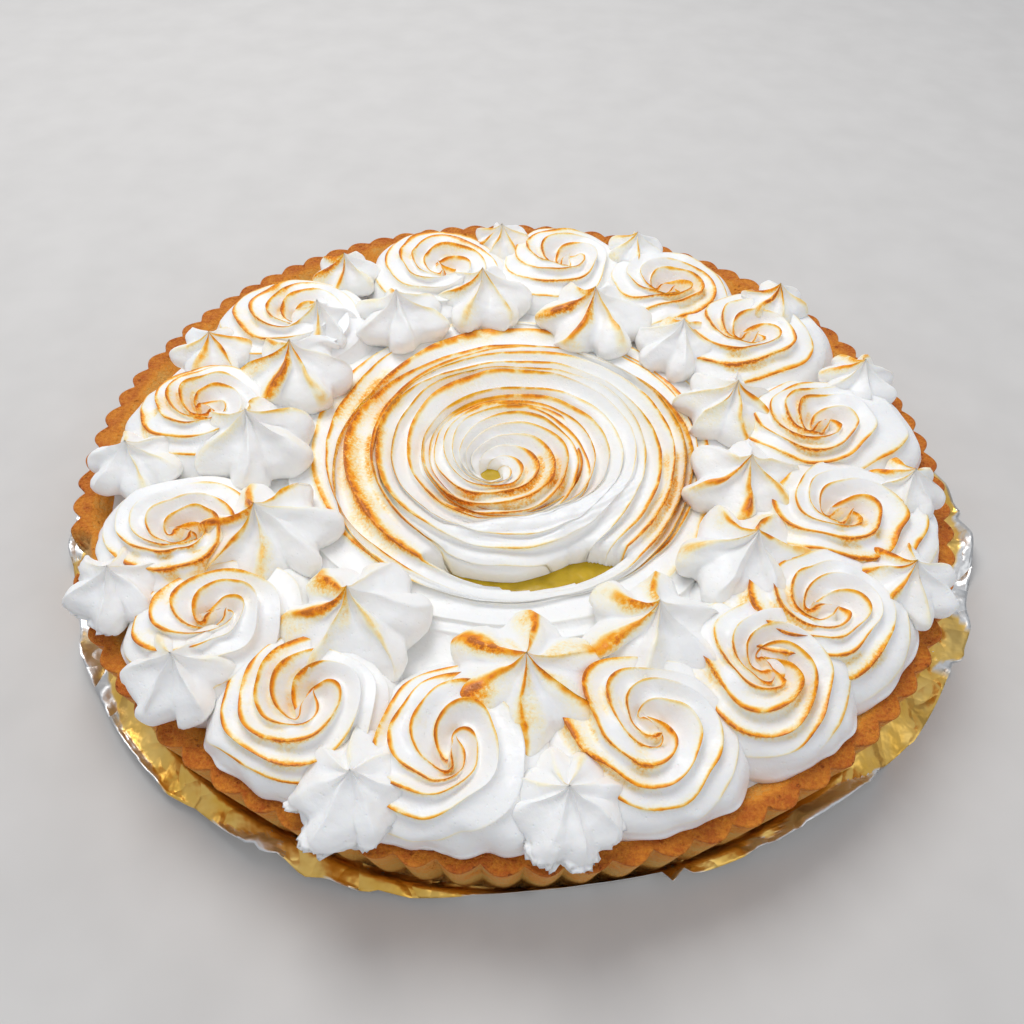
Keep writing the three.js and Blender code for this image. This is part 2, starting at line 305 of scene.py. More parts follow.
# shortcrust, rubbed in, pressed in a fluted ring and baked: matt, sandy, finely pitted and cracked,
# browned on its top edge and paler down the wall
def bakedShortcrust(look):
    material, tree, end = newMaterial("baked shortcrust")
    new = partial(add, tree)
    where = new("ShaderNodeTexCoord", out=3)
    raised = new("ShaderNodeSeparateXYZ", where, out=2)
    broken = new("ShaderNodeAttribute", attribute_name="broken", out=2)
    browned = new("ShaderNodeAttribute", attribute_name="browned", out=2)

    clouds = new("ShaderNodeTexNoise", where,
                 inputs={"Scale": 1 / (look["cloud"] * mm), "Detail": 4.0, "Roughness": 0.6})
    grains = new("ShaderNodeTexNoise", where,
                 inputs={"Scale": 1 / (look["grain"] * mm), "Detail": 4.0, "Roughness": 0.65})
    cells = new("ShaderNodeTexVoronoi", where,
                inputs={"Scale": 1 / (look["pitPitch"] * mm), "Randomness": 1.0})
    pits = new("ShaderNodeMapRange", cells, 0.1, 0.24, 1.0, 0.0, interpolation_type="SMOOTHSTEP")
    some = new("ShaderNodeMapRange", clouds, 0.48, 0.6, 0.0, 1.0)
    pitsSunkAndShaded = new("MULTIPLY", pits, some)

    height = new("ShaderNodeMapRange", raised, 4 * mm, 27 * mm, 0.0, 0.42)
    patchy = new("ShaderNodeMapRange", clouds, 0.3, 0.7, -0.24, 0.2)
    sandy = new("ShaderNodeMapRange", grains, 0.3, 0.7, -0.2, 0.2)
    # the pits also darken the colour here: painted shade where the surface sinks into them
    bake = new("ADD", height, new("MULTIPLY", browned, 0.4), patchy, sandy,
               new("MULTIPLY", pitsSunkAndShaded, 0.25), use_clamp=True)
    crust = new("ShaderNodeValToRGB", bake, stops=[
        (0.0, look["pale"]), (0.45, look["gold"]), (1.0, look["brown"])])
    colour = new("ShaderNodeMix", data_type="RGBA", out=2,
                 inputs={0: broken, 6: crust, 7: linear(look["crumb"])})

    relief = new("SUBTRACT", new("ADD", grains, new("MULTIPLY", clouds, 0.8)),
                 new("MULTIPLY", pitsSunkAndShaded, 0.7))
    bump = new("ShaderNodeBump", inputs={"Strength": 1.0, "Distance": 1.4 * mm, "Height": relief})
    shine = new("ShaderNodeMapRange", grains, 0.3, 0.7, 0.4, 0.75)
    shader = new("ShaderNodeBsdfPrincipled", inputs={
        "Base Color": colour, "Roughness": shine, "IOR": 1.45, "Normal": bump,
        "Subsurface Weight": 0.06, "Subsurface Radius": (1.0, 0.5, 0.25), "Subsurface Scale": 1.0 * mm})
    tree.links.new(shader, end.inputs[0])
    return material


curdLook = {"deep": "#a98a06", "bright": "#d6b21c"}


# lemon curd, cooked with egg and butter and set in the case: a wet, slightly see-through gel
def setLemonCurd(look):
    material, tree, end = newMaterial("set lemon curd")
    new = partial(add, tree)
    where = new("ShaderNodeTexCoord", out=3)
    clouds = new("ShaderNodeTexNoise", where, inputs={"Scale": 1 / (8 * mm), "Detail": 3.0})
    colour = new("ShaderNodeValToRGB", clouds, stops=[(0.3, look["deep"]), (0.7, look["bright"])])
    dimples = new("ShaderNodeTexNoise", where, inputs={"Scale": 1 / (4 * mm), "Detail": 2.0})
    bump = new("ShaderNodeBump", inputs={"Strength": 0.4, "Distance": 0.4 * mm, "Height": dimples})
    shine = new("ShaderNodeMapRange", clouds, 0.3, 0.7, 0.12, 0.24)
    shader = new("ShaderNodeBsdfPrincipled", inputs={
        "Base Color": colour, "Roughness": shine, "IOR": 1.42, "Normal": bump,
        "Subsurface Weight": 0.4, "Subsurface Radius": (1.0, 0.7, 0.1), "Subsurface Scale": 2.0 * mm})
    tree.links.new(shader, end.inputs[0])
    return material


foilLook = {
    "gold": "#ffda82",
    "worn": "#f5c258",
    "silver": "#ececea",
    "creases": [(22, 22 / 6), (8, 3.6 / 6)],      # mm between them, and how strong
}


# kitchen foil, rolled aluminium with a gold lacquer on one side: bright, creased by hand, and bare
# silver where its edge has turned over
def goldFoil(look):
    material, tree, end = newMaterial("gold lacquered foil")
    new = partial(add, tree)
    where = new("ShaderNodeTexCoord", out=3)
    bare = new("ShaderNodeAttribute", attribute_name="bare", out=2)
    clouds = new("ShaderNodeTexNoise", where, inputs={"Scale": 1 / (12 * mm), "Detail": 3.0})
    lacquer = new("ShaderNodeValToRGB", clouds, stops=[(0.35, look["worn"]), (0.65, look["gold"])])
    colour = new("ShaderNodeMix", data_type="RGBA", out=2,
                 inputs={0: bare, 6: lacquer, 7: linear(look["silver"])})
    # creases where a slow noise crosses its middle, at two sizes, with a fine ripple between them
    relief = None
    for pitch, strength in look["creases"]:
        slow = new("ShaderNodeTexNoise", where,
                   inputs={"Scale": 1 / (pitch * mm), "Detail": 1.0, "Distortion": 0.4})
        crease = new("MULTIPLY", new("ABSOLUTE", new("SUBTRACT", slow, 0.5)), strength)
        relief = crease if relief is None else new("ADD", relief, crease)
    ripple = new("ShaderNodeTexNoise", where, inputs={"Scale": 1 / (2.5 * mm), "Detail": 1.0})
    relief = new("ADD", relief, new("MULTIPLY", ripple, 0.12))
    bump = new("ShaderNodeBump", inputs={"Strength": 1.0, "Distance": 3.4 * mm, "Height": relief})
    shine = new("ShaderNodeMapRange", clouds, 0.3, 0.7, 0.32, 0.48)
    shader = new("ShaderNodeBsdfPrincipled", inputs={
        "Base Color": colour, "Metallic": 1.0, "Roughness": shine, "Normal": bump})
    tree.links.new(shader, end.inputs[0])
    return material


meringue = torchedMeringue(meringueLook)
crust = bakedShortcrust(crustLook)
curd = setLemonCurd(curdLook)
foil = goldFoil(foilLook)
print("materials made")


# Every outline is against the share of the way from the eye or tip of a stroke to its foot.
rosetteOutline = {
    "across": [(0, 0), (0.05, 0.03), (0.3, 0.32), (0.5, 0.56), (0.66, 0.77), (0.8, 0.95), (0.88, 1.0),
               (0.94, 0.9), (1, 0)],
    "up": [(0, 0.84), (0.04, 0.83), (0.08, 0.75), (0.13, 0.74), (0.22, 0.88), (0.36, 1.0), (0.52, 0.93),
           (0.66, 0.76), (0.78, 0.52), (0.88, 0.2), (0.94, 0.02), (1, 0)],
    "depth": [(0, 0), (0.05, 0.5), (0.14, 1.0), (0.4, 1.0), (0.58, 0.8), (0.7, 0.3), (0.8, 0.1), (0.9, 0.1),
              (1, 0)],
    "sideways": [(0, 0.0), (0.3, 0.1), (0.6, 0.4), (0.8, 0.9), (1, 1)],
    "reach": [(0, 0.9), (0.3, 1.0), (0.58, 1.0), (0.68, 0.6), (0.76, 0.1), (0.84, 0.0), (1, 0)],
}


# a flat grid of rows and columns, with how far each point lies along the rows and round the piece
def blankGrid(tree, rows, columns):
    grid = add(tree, "GeometryNodeMeshGrid", 1.0, 1.0,
               add(tree, "ADD", rows, 1.0), add(tree, "ADD", columns, 1.0))
    here = add(tree, "GeometryNodeInputPosition")
    along, around = [add(tree, "ADD", add(tree, "ShaderNodeSeparateXYZ", here, out=axis), 0.5)
                     for axis in (0, 1)]
    return grid, along, around


# crowds the rows or columns of a grid towards the crests of its ridges
def crowd(tree, even):
    swinging = add(tree, "SINE", add(tree, "MULTIPLY", even, turn))
    return add(tree, "ADD", even, add(tree, "MULTIPLY", swinging, -0.45 / turn))


# nudges points softly, so nothing is a perfect circle
def nudged(tree, target, pitch, detail, amount):
    wobble = add(tree, "ShaderNodeTexNoise", target, inputs={"Scale": 1 / pitch, "Detail": detail}, out=1)
    soft = add(tree, "ShaderNodeVectorMath", wobble, (0.5, 0.5, 0.5), operation="SUBTRACT")
    nudge = add(tree, "ShaderNodeVectorMath", soft, inputs={3: amount}, operation="SCALE")
    return add(tree, "ShaderNodeVectorMath", target, nudge, operation="ADD")


# stores fields while the grid is still flat, because they all read its position, and then shapes it
def shapedGrid(tree, grid, moved, **fields):
    for label, field in fields.items():
        grid = add(tree, "GeometryNodeStoreNamedAttribute", grid, None, label, field,
                   data_type="FLOAT", domain="POINT")
    return add(tree, "GeometryNodeSetPosition", grid, None, moved)


# The rows follow the ridges as they wind out from the eye, so each crest is a clean edge.
def coilTree(name, outline):
    tree, size = growthTree(name, {
        "Rows per ridge": 16, "Columns": 150, "Ridges": 6, "Arms": 5,
        "Centre": (0.0, 0.0, 0.0), "Eye": (0.0, 0.0, 0.0), "Spread": 24 * mm, "Height": 20 * mm,
        "Depth": 2.6 * mm, "Skew": 0.8, "Spin": 0.0, "Unevenness": 0.06, "Stray": 0.35, "Seed": 0.0,
        "Tail": 0.15, "Tail bearing": 0.0, "Lip": 0.25, "Waves": 1.0, "Contrast": 0.25,
        "Wobble": 1.6 * mm, "Settled": 0.6, "Fin": 0.0,
        "Toast": 0.6, "Toast bearing": 0.0, "Toast bias": 0.5})
    new = partial(add, tree)
    bands = new("ADD", size["Ridges"], size["Arms"])
    grid, along, around = blankGrid(tree, new("MULTIPLY", bands, size["Rows per ridge"]), size["Columns"])

    # which ridge, and how far out from the eye
    ridgeCount = crowd(tree, new("SUBTRACT", new("MULTIPLY", along, bands), size["Arms"]))
    wound = new("ADD", ridgeCount, new("MULTIPLY", around, size["Arms"]))
    evenShare = new("DIVIDE", wound, size["Ridges"], use_clamp=True)
    outward = new("POWER", new("FRACT", new("ADD", ridgeCount, 100.0)), size["Skew"])
    valley = new("ABSOLUTE", new("SINE", new("MULTIPLY", outward, math.pi)))
    flank = new("SINE", new("MULTIPLY", ridgeCount, turn))

    # slow unevenness that closes on itself round the piece
    bare = new("MULTIPLY", around, -turn)
    angle = new("ADD", size["Spin"], bare)
    deep = new("MULTIPLY", evenShare, new("MULTIPLY", size["Ridges"], size["Contrast"]))
    wide = new("MULTIPLY", new("ADD", 0.3, evenShare), size["Waves"])
    ring = new("ShaderNodeCombineXYZ", new("MULTIPLY", new("COSINE", angle), wide),
               new("MULTIPLY", new("SINE", angle), wide), deep)
    drift = new("ShaderNodeTexNoise", ring, size["Seed"], 0.9, 1.0, noise_dimensions="4D")
    calm = new("ShaderNodeMapRange", evenShare, 0.0, 0.15, 0.0, 4.0)
    swing = new("MULTIPLY", new("SUBTRACT", drift, 0.5), new("MULTIPLY", size["Unevenness"], calm))
    stir = new("ShaderNodeTexNoise", ring, new("ADD", size["Seed"], 7.3), 1.4, 1.0, noise_dimensions="4D")
    pull = new("MAXIMUM", new("MULTIPLY", new("SUBTRACT", stir, 0.5), 3.0), -0.9)

    # ridges stray towards each other and apart, but not at the eye or the foot
    wander = new("ShaderNodeTexNoise", ring, new("ADD", size["Seed"], 3.1), 0.9, 0.5, noise_dimensions="4D")
    inside = new("SINE", new("MULTIPLY", evenShare, math.pi))
    loose = new("DIVIDE", new("MULTIPLY", size["Stray"], 5.0), size["Ridges"])
    strays = new("MULTIPLY", new("SUBTRACT", wander, 0.5), new("MULTIPLY", inside, loose))
    share = new("ADD", evenShare, strays, use_clamp=True)

    across, up, strength, sideways, far = [
        new("ShaderNodeFloatCurve", 1.0, share, points=outline[part])
        for part in ("across", "up", "depth", "sideways", "reach")]
    radius = new("MULTIPLY", across, size["Spread"], new("ADD", swing, 1.0))
    height = new("MULTIPLY", up, size["Height"], new("ADD", new("MULTIPLY", swing, 0.8), 1.0))
    towards = new("MAXIMUM", new("COSINE", new("SUBTRACT", angle, size["Tail bearing"])), 0.0)
    tail = new("MULTIPLY", new("POWER", towards, 4.0), share, size["Tail"])
    radius = new("MULTIPLY", radius, new("ADD", 1.0, tail))

    # the ridges: deeper and shallower as the hand sped up and slowed down; crests lean outwards
    cut = new("MULTIPLY", size["Depth"], strength, new("ADD", pull, 1.0))
    sunk = new("MULTIPLY", cut, valley)
    lip = new("MULTIPLY", cut, size["Lip"], new("SUBTRACT", 1.0, valley))
    radius = new("ADD", new("SUBTRACT", radius, new("MULTIPLY", sunk, sideways)), lip)
    height = new("SUBTRACT", height, new("MULTIPLY", sunk, new("SUBTRACT", 1.0, sideways)))
    radius = new("MAXIMUM", radius, 0.0)

    # a coil starts from a short fin where the tip first touched down, so its rings are long ovals there
    finArea = new("MULTIPLY", size["Fin"], size["Fin"])
    oval = new("SQRT", new("ADD", new("MULTIPLY", radius, radius), finArea))
    pinch = new("DIVIDE", finArea, oval)
    flat = new("ShaderNodeCombineXYZ",
               new("MULTIPLY", new("ADD", oval, pinch), new("COSINE", bare)),
               new("MULTIPLY", new("SUBTRACT", oval, pinch), new("SINE", bare)), height)
    flat = new("ShaderNodeVectorRotate", flat, inputs={"Angle": size["Spin"]}, rotation_type="Z_AXIS")
    settling = new("ShaderNodeMapRange", share, 0.0, size["Settled"], 0.0, 1.0,
                   interpolation_type="SMOOTHSTEP")
    shift = new("ShaderNodeMix", data_type="VECTOR", out=1,
                inputs={0: settling, 4: size["Eye"], 5: size["Centre"]})
    target = new("ShaderNodeVectorMath", flat, shift, operation="ADD")
    held = new("ShaderNodeMapRange", share, 0.0, 0.12, 0.0, size["Wobble"])
    moved = nudged(tree, target, 13 * mm, 0.5, held)

    # how strongly the torch caught each part
    facing = new("COSINE", new("SUBTRACT", angle, size["Toast bearing"]))
    bias = new("MULTIPLY", size["Toast bias"], new("ShaderNodeMapRange", share, 0.05, 0.4, 0.2, 1.0))
    lit = new("ADD", new("MULTIPLY", facing, bias), new("SUBTRACT", 1.0, bias))
    patch = new("ShaderNodeMapRange", stir, 0.36, 0.6, 0.35, 1.3)
    toast = new("MULTIPLY", new("MULTIPLY", lit, far), new("MULTIPLY", patch, size["Toast"]),
                use_clamp=True)
    shaped = shapedGrid(tree, grid, moved, ridge=valley, flank=flank, toast=toast, carved=sunk)
    closeTree(tree, new("GeometryNodeFlipFaces", shaped), size["Material"])
    return tree


rosetteTree = coilTree("piped rosette", rosetteOutline)

dipHeight = 34.24 * mm           # of the dip in the middle of every CAD rosette


# where a rosette's coil starts: the corner of its CAD solid in the dip
def coilStart(node):
    points = vertexPoints(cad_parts[node].data)
    low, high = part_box(node)
    middle = np.array([(low.x + high.x) / 2, (low.y + high.y) / 2])
    level = np.abs(points[:, 2] - dipHeight) < 0.1 * mm
    if not level.any():
        return middle
    near = points[level][:, :2]
    return near[np.abs(near - middle).sum(1).argmin()]


rosetteSizes = {
    "height": 19.5 * mm,
    "depth": 2.5 * mm,
    "widen": 1.17,
    "ridges": 7,
    "fin": 1.8 * mm,
    "stray": 0.5,
    "stopFront": 3.2 * mm,       # how far the skirt stays short of the rim's edge
    "stopBack": 8.5 * mm,        # the same at the left back, where more of the rim shows
}
rosetteStyles = {                # where the coil was started, its tail, and its torching
    "rosette_01": {"spin": 200, "tail": (200, 0.25), "toast": 1.15, "side": 210},
    "rosette_02": {"spin": 190, "tail": (200, 0.25), "toast": 1.15, "side": 240},
    "rosette_03": {"spin": 170, "tail": (210, 0.2), "toast": 1.0, "side": 300},
    "rosette_04": {"spin": 230, "tail": (230, 0.1), "toast": 1.0, "side": 200},
    "rosette_05": {"spin": 290, "tail": (250, 0.1), "toast": 0.9, "side": 120},
    "rosette_06": {"spin": 300, "tail": (200, 0.1), "toast": 0.85, "side": 160},
    "rosette_07": {"spin": 330, "tail": (320, 0.12), "toast": 1.2, "side": 190},
    "rosette_08": {"spin": 350, "tail": (20, 0.12), "toast": 1.15, "side": 300},
    "rosette_09": {"spin": 20, "tail": (30, 0.15), "toast": 0.8, "side": 170},
    "rosette_10": {"spin": 60, "tail": (60, 0.05), "toast": 1.2, "side": 190},
    "rosette_11": {"spin": 80, "tail": (60, 0.15), "toast": 1.1, "side": 160},
    "rosette_12": {"spin": 130, "tail": (150, 0.3), "toast": 1.0, "side": 220},
    "rosette_13": {"spin": 110, "tail": (120, 0.1), "toast": 1.25, "side": 240, "arms": 5},
    "rosette_14": {"spin": 170, "tail": (180, 0.3), "toast": 1.25, "side": 230},
    "rosette_15": {"spin": 180, "tail": (190, 0.3), "toast": 1.15, "side": 240},
}

for count, (node, style) in enumerate(rosetteStyles.items()):
    low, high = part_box(node)
    x, y = coilStart(node)
    wide = max(high.x - low.x, high.y - low.y) / 2
    tailBearing, tail = style["tail"]
    piece = grow("piped_" + node, rosetteTree, meringue, centre=(x, y, low.z), eye=(x, y, low.z),
                 spread=wide * rosetteSizes["widen"], height=rosetteSizes["height"],
                 depth=rosetteSizes["depth"], ridges=rosetteSizes["ridges"], arms=style.get("arms", 4),
                 spin=math.radians(style["spin"]), seed=3.7 * count, fin=rosetteSizes["fin"],
                 stray=rosetteSizes["stray"], tail=tail, tailBearing=math.radians(tailBearing),
                 toast=style["toast"], toastBearing=math.radians(style["side"]))
    leftBack = smoothStep(-0.3, 0.5, (y - 0.6 * x) / math.hypot(x, y))
    stop = rosetteSizes["stopFront"] + (rosetteSizes["stopBack"] - rosetteSizes["stopFront"]) * leftBack
    drapeOverRim(piece.data, {"centre": (x, y), "spread": wide, "stop": stop})
    place(piece, node)
print("rosettes piped")


kissOutline = {
    "across": [(0, 0), (0.04, 0.04), (0.16, 0.2), (0.32, 0.47), (0.48, 0.76), (0.6, 0.93), (0.7, 1.0),
               (0.8, 0.96), (0.88, 0.8), (0.94, 0.55), (1, 0)],
    "up": [(0, 1), (0.05, 0.94), (0.16, 0.84), (0.32, 0.73), (0.48, 0.62), (0.6, 0.5), (0.7, 0.36),
           (0.8, 0.2), (0.88, 0.08), (0.94, 0.0), (1, 0)],
    "depth": [(0, 0.3), (0.1, 0.9), (0.3, 1.0), (0.5, 0.9), (0.65, 0.72), (0.8, 0.62), (0.9, 0.55),
              (0.96, 0.3), (1, 0)],
    "reach": [(0, 1), (0.3, 0.95), (0.5, 0.68), (0.66, 0.36), (0.8, 0), (1, 0)],
}


# The columns follow the ridges as they lean round towards the tip.
def kissTree(name, outline):
    tree, size = growthTree(name, {
        "Rows": 60, "Columns per ridge": 14, "Ridges": 7,
        "Centre": (0.0, 0.0, 0.0), "Spread": 18 * mm, "Height": 22 * mm, "Depth": 0.4, "Spin": 0.0,
        "Twist": 0.3, "Unevenness": 0.1, "Lean": (0.0, 0.0, 0.0), "Seed": 0.0, "Sharp to": 0.4,
        "Toast": 0.6, "Toast bearing": 0.0, "Toast bias": 0.5})
    new = partial(add, tree)
    columns = new("MULTIPLY", size["Ridges"], size["Columns per ridge"])
    grid, share, around = blankGrid(tree, size["Rows"], columns)

    # thin ridges near the tip that swell into blunt lobes below
    ridgeCount = crowd(tree, new("MULTIPLY", around, size["Ridges"]))
    hollow = new("ABSOLUTE", new("SINE", new("MULTIPLY", ridgeCount, math.pi)))
    nose = new("POWER", hollow, 3.0)
    blunt = new("ShaderNodeMapRange", share, size["Sharp to"], 0.8, 0.0, 1.0,
                interpolation_type="SMOOTHSTEP")
    scoop = new("ShaderNodeMix", inputs={0: blunt, 2: hollow, 3: nose})
    valley = new("MULTIPLY", new("PINGPONG", ridgeCount, 0.5), 2.0)
    flank = new("SINE", new("MULTIPLY", ridgeCount, turn))

    # the lobes fan out unevenly and wind up into the tip
    plain = new("ADD", new("DIVIDE", new("MULTIPLY", ridgeCount, turn), size["Ridges"]),
                size["Spin"])
    ring = new("ShaderNodeCombineXYZ", new("COSINE", plain), new("SINE", plain), share)
    drift = new("ShaderNodeTexNoise", ring, size["Seed"], 1.3, 1.0, noise_dimensions="4D")
    swing = new("MULTIPLY", new("SUBTRACT", drift, 0.5),
                new("MULTIPLY", size["Unevenness"], 4.0))
    stir = new("ShaderNodeTexNoise", ring, new("ADD", size["Seed"], 5.1), 1.9, 1.0,
               noise_dimensions="4D")
    fanned = new("MULTIPLY", new("SUBTRACT", stir, 0.5), 0.8)
    rise = new("SUBTRACT", 1.0, share)
    angle = new("ADD", plain, new("MULTIPLY", size["Twist"], rise), fanned)

    across, up, strength, far = [
        new("ShaderNodeFloatCurve", 1.0, share, points=outline[part])
        for part in ("across", "up", "depth", "reach")]
    scooped = new("MULTIPLY", scoop, strength, size["Depth"])
    radius = new("MULTIPLY", new("MULTIPLY", across, size["Spread"]),
                 new("MULTIPLY", new("SUBTRACT", 1.0, scooped), new("ADD", swing, 1.0)))
    sagging = new("MULTIPLY", new("MULTIPLY", scooped, up), new("MULTIPLY", size["Height"], 0.3))
    height = new("SUBTRACT", new("MULTIPLY", up, size["Height"]), sagging)

    flat = new("ShaderNodeCombineXYZ", new("MULTIPLY", radius, new("COSINE", angle)),
               new("MULTIPLY", radius, new("SINE", angle)), height)
    leaning = new("ShaderNodeVectorMath", size["Lean"], inputs={3: new("POWER", rise, 2.5)},
                  operation="SCALE")
    target = new("ShaderNodeVectorMath", flat, size["Centre"], operation="ADD")
    target = new("ShaderNodeVectorMath", target, leaning, operation="ADD")
    moved = nudged(tree, target, 8 * mm, 1.0, 1.5 * mm)

    facing = new("COSINE", new("SUBTRACT", angle, size["Toast bearing"]))
    lit = new("ADD", new("MULTIPLY", facing, size["Toast bias"]),
              new("SUBTRACT", 1.0, size["Toast bias"]))
    patch = new("ShaderNodeMapRange", stir, 0.38, 0.62, 0.3, 1.2)
    toast = new("MULTIPLY", new("MULTIPLY", lit, far), new("MULTIPLY", patch, size["Toast"]),
                use_clamp=True)
    shaped = shapedGrid(tree, grid, moved, ridge=valley, flank=flank, toast=toast)
    closeTree(tree, shaped, size["Material"])
    return tree


pipedKiss = kissTree("piped kiss", kissOutline)


def highest(node):
    points = vertexPoints(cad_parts[node].data)
    return points[points[:, 2].argmax()]


# roughens the foot of a kiss where the meringue tore as it was pulled off
def tearFoot(mesh, tip, depth):
    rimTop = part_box("pastry_case")[1].z
    points = vertexPoints(mesh)
    out = points[:, :2] - np.array(tip[:2])
    away = np.hypot(out[:, 0], out[:, 1])
    outside = smoothStep(0, 8 * mm, np.hypot(points[:, 0], points[:, 1]) - math.hypot(*tip[:2]))
    low = (1 - smoothStep(rimTop + 4 * mm, rimTop + 8 * mm, points[:, 2])) * outside
    lumps = np.array([noise.turbulence(Vector(p) / (2.6 * mm), 3, True) - 0.25 for p in points])
    push = depth * low * lumps * smoothStep(2 * mm, 6 * mm, away)
    points[:, :2] += out / np.maximum(away, 1e-6)[:, None] * push[:, None]
    points[:, 2] += 0.5 * push
    setPoints(mesh, points)


kissSizes = {
    "widen": 1.17,
    "depth": 0.4,
    "taller": 1.5 * mm,
    "liftInner": 3.2 * mm,       # the inner ring rests on the strokes below it
    "liftOuter": 0.5 * mm,
    "lean": 1.5 * mm,            # how far a tip fell over
}
innerStyles = {                  # ridges, turn, twist and torching of each kiss, and which way its tip fell
    "kiss_inner_01": {"ridges": 7, "spin": 10, "twist": 25, "toast": 0.7, "side": 270, "lean": (1, 0)},
    "kiss_inner_02": {"ridges": 6, "spin": 30, "twist": 20, "toast": 0.4, "side": 60, "lean": (1, 1)},
    "kiss_inner_03": {"ridges": 6, "spin": 50, "twist": 28, "toast": 0.8, "side": 220, "lean": (0, 1)},
    "kiss_inner_04": {"ridges": 6, "spin": 0, "twist": 30, "toast": 0.6, "side": 250, "lean": (0, 1)},
    "kiss_inner_05": {"ridges": 6, "spin": 40, "twist": 10, "toast": 0.3, "side": 90},
    "kiss_inner_06": {"ridges": 6, "spin": 20, "twist": 15, "toast": 0.4, "side": 200},
    "kiss_inner_07": {"ridges": 6, "spin": 60, "twist": 15, "toast": 0.7, "side": 230, "lean": (0, 1)},
    "kiss_inner_08": {"ridges": 6, "spin": 35, "twist": 5, "toast": 0.4, "side": 110},
    "kiss_inner_09": {"ridges": 7, "spin": 15, "twist": 10, "toast": 0.95, "side": 160, "lean": (-1, 0)},
    "kiss_inner_10": {"ridges": 6, "spin": 0, "twist": 15, "toast": 0.6, "side": 200, "lean": (-1, 1)},
    "kiss_inner_11": {"ridges": 6, "spin": 25, "twist": 0, "toast": 1.0, "side": 120, "bias": 0.15,
                      "sharpTo": 0.15, "depth": 0.3, "wide": 0.93},
    "kiss_inner_12": {"ridges": 6, "spin": 70, "twist": 25, "toast": 0.6, "side": 160, "lean": (0, 1)},
    "kiss_inner_13": {"ridges": 6, "spin": 45, "twist": 25, "toast": 0.6, "side": 90, "lean": (1, 0)},
    "kiss_inner_14": {"ridges": 6, "spin": 5, "twist": 25, "toast": 0.6, "side": 270},
}
outerStyles = {                  # some are raised, and some tore at the foot; both in mm
    "kiss_outer_01": {"ridges": 7, "spin": 0, "twist": 20, "toast": 0.5, "side": 120, "raise": 3},
    "kiss_outer_02": {"ridges": 6, "spin": 30, "twist": 20, "toast": 0.9, "side": 250, "raise": 4.5},
    "kiss_outer_03": {"ridges": 6, "spin": 20, "twist": 20, "toast": 0.5, "side": 200, "raise": 3},
    "kiss_outer_04": {"ridges": 7, "spin": 40, "twist": 20, "toast": 0.6, "side": 250},
    "kiss_outer_05": {"ridges": 6, "spin": 15, "twist": 15, "toast": 0.8, "side": 200},
    "kiss_outer_06": {"ridges": 6, "spin": 10, "twist": 15, "toast": 0.7, "side": 320},
    "kiss_outer_07": {"ridges": 6, "spin": 50, "twist": 10, "toast": 0.35, "side": 40},
    "kiss_outer_08": {"ridges": 6, "spin": 25, "twist": 10, "toast": 0.12, "side": 90,
                      "depth": 0.36, "torn": 3},
    "kiss_outer_09": {"ridges": 6, "spin": 0, "twist": 10, "toast": 0.15, "side": 90},
    "kiss_outer_10": {"ridges": 7, "spin": 35, "twist": 10, "toast": 0.08, "side": 90,
                      "depth": 0.26, "torn": 4.2},
    "kiss_outer_11": {"ridges": 8, "spin": 15, "twist": 10, "toast": 0.12, "side": 90,
                      "depth": 0.24, "torn": 4},
    "kiss_outer_12": {"ridges": 7, "spin": 60, "twist": 20, "toast": 0.75, "side": 150},
    "kiss_outer_13": {"ridges": 7, "spin": 30, "twist": 20, "toast": 0.6, "side": 120, "raise": 2},
}

for count, (node, style) in enumerate({**innerStyles, **outerStyles}.items()):
    low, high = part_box(node)
    tip = highest(node)
    lift = kissSizes["liftInner" if node in innerStyles else "liftOuter"]
    leanX, leanY = style.get("lean", (0, 0))
    piece = grow("piped_" + node, pipedKiss, meringue,
                 centre=(tip[0], tip[1], low.z + lift + style.get("raise", 0) * mm),
                 spread=(high.x - low.x) / 2 * kissSizes["widen"] * style.get("wide", 1),
                 height=high.z - low.z - lift + kissSizes["taller"], ridges=style["ridges"],
                 depth=style.get("depth", kissSizes["depth"]), sharpTo=style.get("sharpTo", 0.4),
                 spin=math.radians(style["spin"]), twist=math.radians(style["twist"]), seed=2.3 * count,
                 lean=(leanX * kissSizes["lean"], leanY * kissSizes["lean"], 0.0),
                 toast=style["toast"], toastBearing=math.radians(style["side"]),
                 toastBias=style.get("bias", 0.5))
    if node in outerStyles:
        drapeOverRim(piece.data)
    if "torn" in style:
        tearFoot(piece.data, tip, style["torn"] * mm)
    place(piece, node)
print("kisses piped")


# Two strokes fill the middle: wide rings laid nearly level, and a tighter whirl inside them that
# winds down to the hole.
ringsOutline = {
    "across": [(0, 0.0), (0.03, 0.11), (0.08, 0.144), (0.3, 0.271), (0.6, 0.44), (0.8, 0.6), (0.96, 1.0),
               (0.98, 0.98), (1, 0)],
    "up": [(0, 0.0), (0.03, 0.1), (0.08, 0.55), (0.16, 0.78), (0.3, 0.91), (0.45, 1.0), (0.6, 0.97),
           (0.72, 0.86), (0.82, 0.7), (0.9, 0.46), (0.96, 0.36), (0.98, 0.05), (1, 0)],
    "depth": [(0, 0.1), (0.08, 0.5), (0.14, 1.0), (0.55, 1.0), (0.68, 0.6), (0.8, 0.35), (0.95, 0.3),
              (1, 0)],
    "sideways": [(0, 0.0), (0.9, 0.0), (1, 1)],
    "reach": [(0, 1.0), (1, 1.0)],
}
